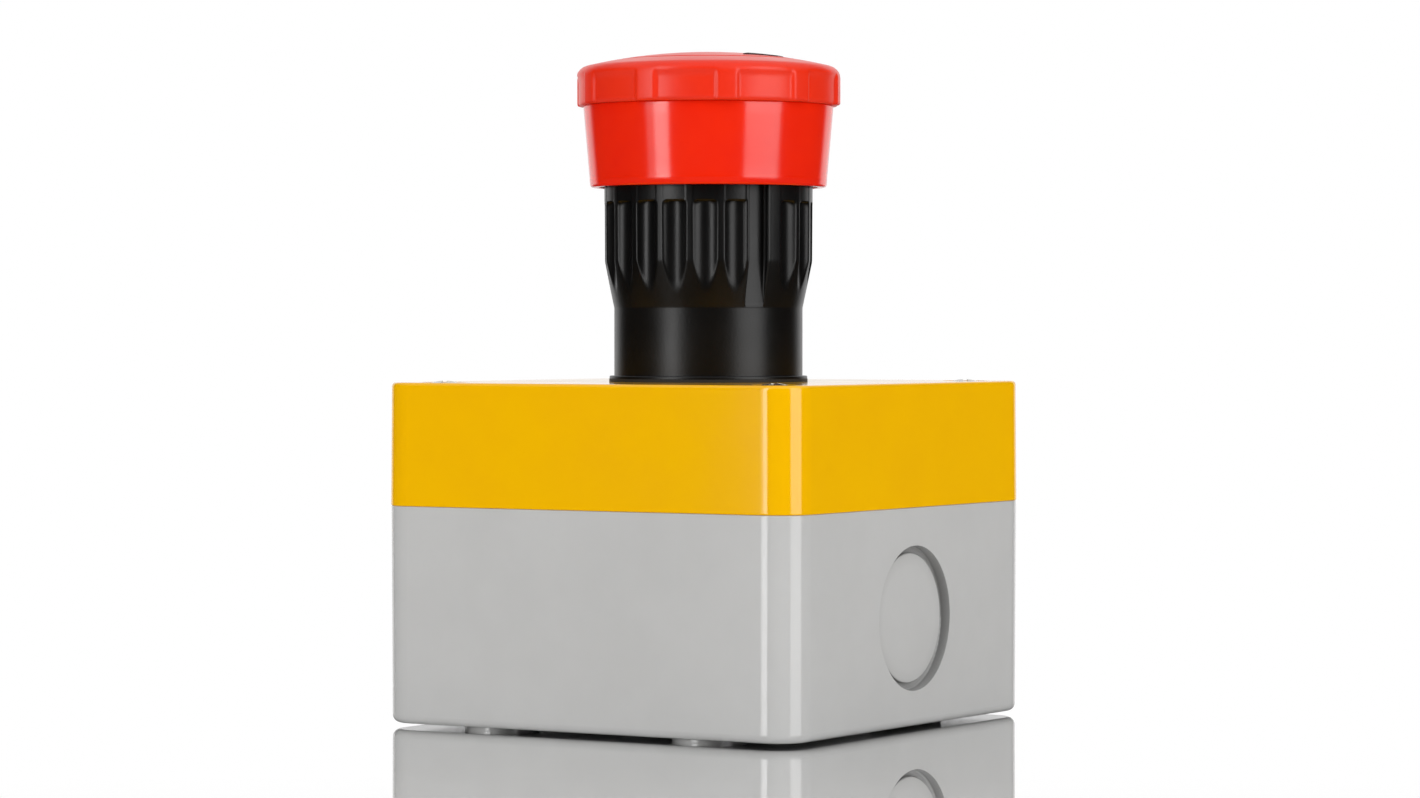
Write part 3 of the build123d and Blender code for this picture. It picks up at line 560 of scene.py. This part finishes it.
flute_end = [(SLEEVE_MIDDLE, z) for z in (77.95, 78.05, 78.18, 78.3)]
neck = closed_outline(
    [(BORE, COLLAR_LOW), (FLANGE, COLLAR_LOW), (FLANGE, FLANGE_TOP), (NECK, FLANGE_TOP), (NECK, CONE_LOW),
     (SLEEVE, CONE_HIGH), *flute_end, (SLEEVE_TOP, COLLAR_HIGH), (BORE, COLLAR_HIGH)],
    {10: 0.6, 2: 0.14, 4: 0.12, 5: 0.3})
split_long_edges(neck, 0.4, CONE_LOW - 1.2, 78.1, 13.0)
spin_outline(neck, COLUMNS, CHANNEL_ANGLE)
print("neck columns, mm apart:", round(2 * pi * SLEEVE / COLUMNS, 3))

# %% [markdown]
# The flutes are cut by moving each spun vertex inwards to the cutter's surface. One flute is left
# out, where the key channel takes its place. The channel has upright side walls, so its vertices
# also move sideways: the first ten columns from its middle make the floor, which runs on into the
# plain cylinder below, and the next four make the wall and its small rounded rim.

# %% Cut the flutes and the channel
FLOOR_COLUMNS = 10
RIM = ((0.2, 0.01), (0.09, 0.04), (0.02, 0.12), (0.0, 0.0))    # how far in and out; the last stays
SHOULDER = 0.55                              # the flute's round top corners, in mm
BLEND = 0.16                                 # rounding of a flute's rim


def flute_radius(angle, height, outside):
    """Radius of the fluted surface in mm, at an angle in degrees."""
    turned = (angle - FLUTE_PHASE + 180 / FLUTES) % (360 / FLUTES) - 180 / FLUTES
    from_channel = (angle - turned - CHANNEL_ANGLE + 180) % 360 - 180
    if abs(from_channel) < 180 / FLUTES:
        return outside
    near_top = max(0.0, height - (FLUTE_TOP - SHOULDER))
    narrower = 1.0 - 0.24 * eased(near_top / SHOULDER) ** 2
    side = CUTTER_AXIS * sin(radians(turned)) / narrower
    if abs(side) >= CUTTER_RADIUS:
        return outside
    cut = CUTTER_AXIS * cos(radians(turned)) - sqrt(CUTTER_RADIUS ** 2 - side ** 2)
    held = eased((height - (FLUTE_TOP - 0.16)) / 0.14)
    return softer_least(outside, cut + (outside - cut) * held, BLEND)


def channel_point(column, outside):
    """Place (along, across) in mm for a column counted from the channel's middle."""
    if column <= FLOOR_COLUMNS:
        across = CHANNEL_HALF * column / FLOOR_COLUMNS
        return sqrt(NECK ** 2 - across ** 2), across
    sunk, out = RIM[column - FLOOR_COLUMNS - 1]
    return outside - sunk, CHANNEL_HALF + out


turn = radians(CHANNEL_ANGLE)
for vertex in neck.verts:
    radius = hypot(vertex.co.x, vertex.co.y) / MM
    height = vertex.co.z / MM
    if radius < NECK + 0.05 or height < CONE_LOW - 0.2:
        continue
    angle = degrees(atan2(vertex.co.y, vertex.co.x))
    turned = (angle - CHANNEL_ANGLE + 180) % 360 - 180
    column = round(abs(turned) * COLUMNS / 360)
    if column <= FLOOR_COLUMNS + len(RIM):
        along, across = channel_point(column, radius)
        if along < radius:
            across = across if turned > 0 else -across
            vertex.co.x = (along * cos(turn) - across * sin(turn)) * MM
            vertex.co.y = (along * sin(turn) + across * cos(turn)) * MM
        continue
    scale = flute_radius(angle, height, radius) / radius
    vertex.co.x *= scale
    vertex.co.y *= scale
place_piece(neck, "fluted_neck", "enclosure", "black_nylon", "guard_collar")

# %% [markdown]
# ## The head
#
# The ring of the mushroom head has ten broad grip ribs. Between them lie shallow recesses, less
# than half a millimetre deep, that fade out under the rounded shoulder. Ten cutters could sink
# them, but here the spun ring is pushed in between the ribs, with a flank 0.8 mm wide, which is
# enough for each rib to catch a soft line of light.

# %% Head ring
RIBS = 10
RIB_PHASE = 21.5                             # degrees to the middle of the first rib
RIB_HALF = 4.75                              # degrees
FLANK = 2.4                                  # degrees from a rib's top to the recess floor
RING = 20.0
RING_LOW = 92.7
RECESS = 19.62
FADE_LOW = 96.1                              # the recess starts to fade out here, in mm
FADE_HEIGHT = 2.2
LIP = 0.35                                   # height of the lip chamfer under each recess
DOME = 82.0
HOLE = 14.05                                 # the marker disc sits in it
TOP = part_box("marker_disc")[1].z / MM


def dome_height(radius):
    """Height of the dome in mm at a radius."""
    return TOP - DOME + sqrt(DOME ** 2 - radius ** 2)


def recess_limit(height):
    """Radius that the recess floor reaches at a height; it leaves the ring at the shoulder."""
    return RECESS + (RING + 0.02 - RECESS) * eased((height - FADE_LOW) / FADE_HEIGHT)


print("top of the dome, mm:", round(TOP, 2))
ring_points = [(6.6, 90.0), (6.6, 95.2), (16.6, 95.2), (16.6, 94.0), (17.9, 94.0), (17.9, RING_LOW),
               (RING, RING_LOW)]
ring_points += [(r, dome_height(r)) for r in (RING, 18.2, 16.9, 15.7, HOLE + 0.4)]
ring_points += [(HOLE, dome_height(HOLE) - 0.3), (HOLE, 98.6), (6.4, 98.6), (6.4, 96.95), (4.08, 96.95),
                (4.08, 90.0)]
ring = closed_outline(ring_points, {7: 1.48, 6: 0.35, 11: 0.12, 5: 0.15, 1: 0.3, 0: 0.2})
split_long_edges(ring, 0.3, RING_LOW + 0.1, 98.5, 19.0)
spin_outline(ring, 900, RIB_PHASE)
for vertex in ring.verts:
    radius = hypot(vertex.co.x, vertex.co.y) / MM
    height = vertex.co.z / MM
    if radius > RECESS - 0.6 and height > RING_LOW - 0.01:
        angle = degrees(atan2(vertex.co.y, vertex.co.x))
        turned = (angle - RIB_PHASE + 180 / RIBS) % (360 / RIBS) - 180 / RIBS
        rib = eased((RIB_HALF + FLANK / 2 - abs(turned)) / FLANK)
        limit = min(radius, recess_limit(height) - max(0.0, LIP - (height - RING_LOW)) * 0.6)
        scale = (limit + (radius - limit) * rib) / radius
        vertex.co.x *= scale
        vertex.co.y *= scale
place_piece(ring, "head_ring", "head", "red_satin_plastic", "mushroom_cap")

# %% [markdown]
# The skirt is a slim cone that slides over the sleeve. Only its outside and its lower lip are ever
# seen, but it is a closed wall 1.25 mm thick. A low bead 1.2 mm above the lip hides the place
# where the two halves of the mould met. A cone primitive would give the slope, but not the lip and
# the bead, so this piece is an outline and a spin too.

# %% Skirt
SKIRT_LOW = 80.4
SKIRT_HIGH = 94.0

skirt = closed_outline(
    [(16.58, SKIRT_LOW), (17.83, SKIRT_LOW), (17.96, SKIRT_LOW + 1.15), (17.94, SKIRT_LOW + 1.35),
     (18.9, RING_LOW), (17.85, RING_LOW), (17.85, SKIRT_HIGH), (16.65, SKIRT_HIGH), (16.65, 91.5)],
    {0: 0.25, 1: 0.35, 2: 0.08, 3: 0.08, 4: 0.2, 6: 0.1})
split_long_edges(skirt, 2.0, SKIRT_LOW + 1.3, RING_LOW - 0.1, 17.0)
spin_outline(skirt, 288)
place_piece(skirt, "head_skirt", "head", "red_gloss_plastic", "mushroom_skirt")
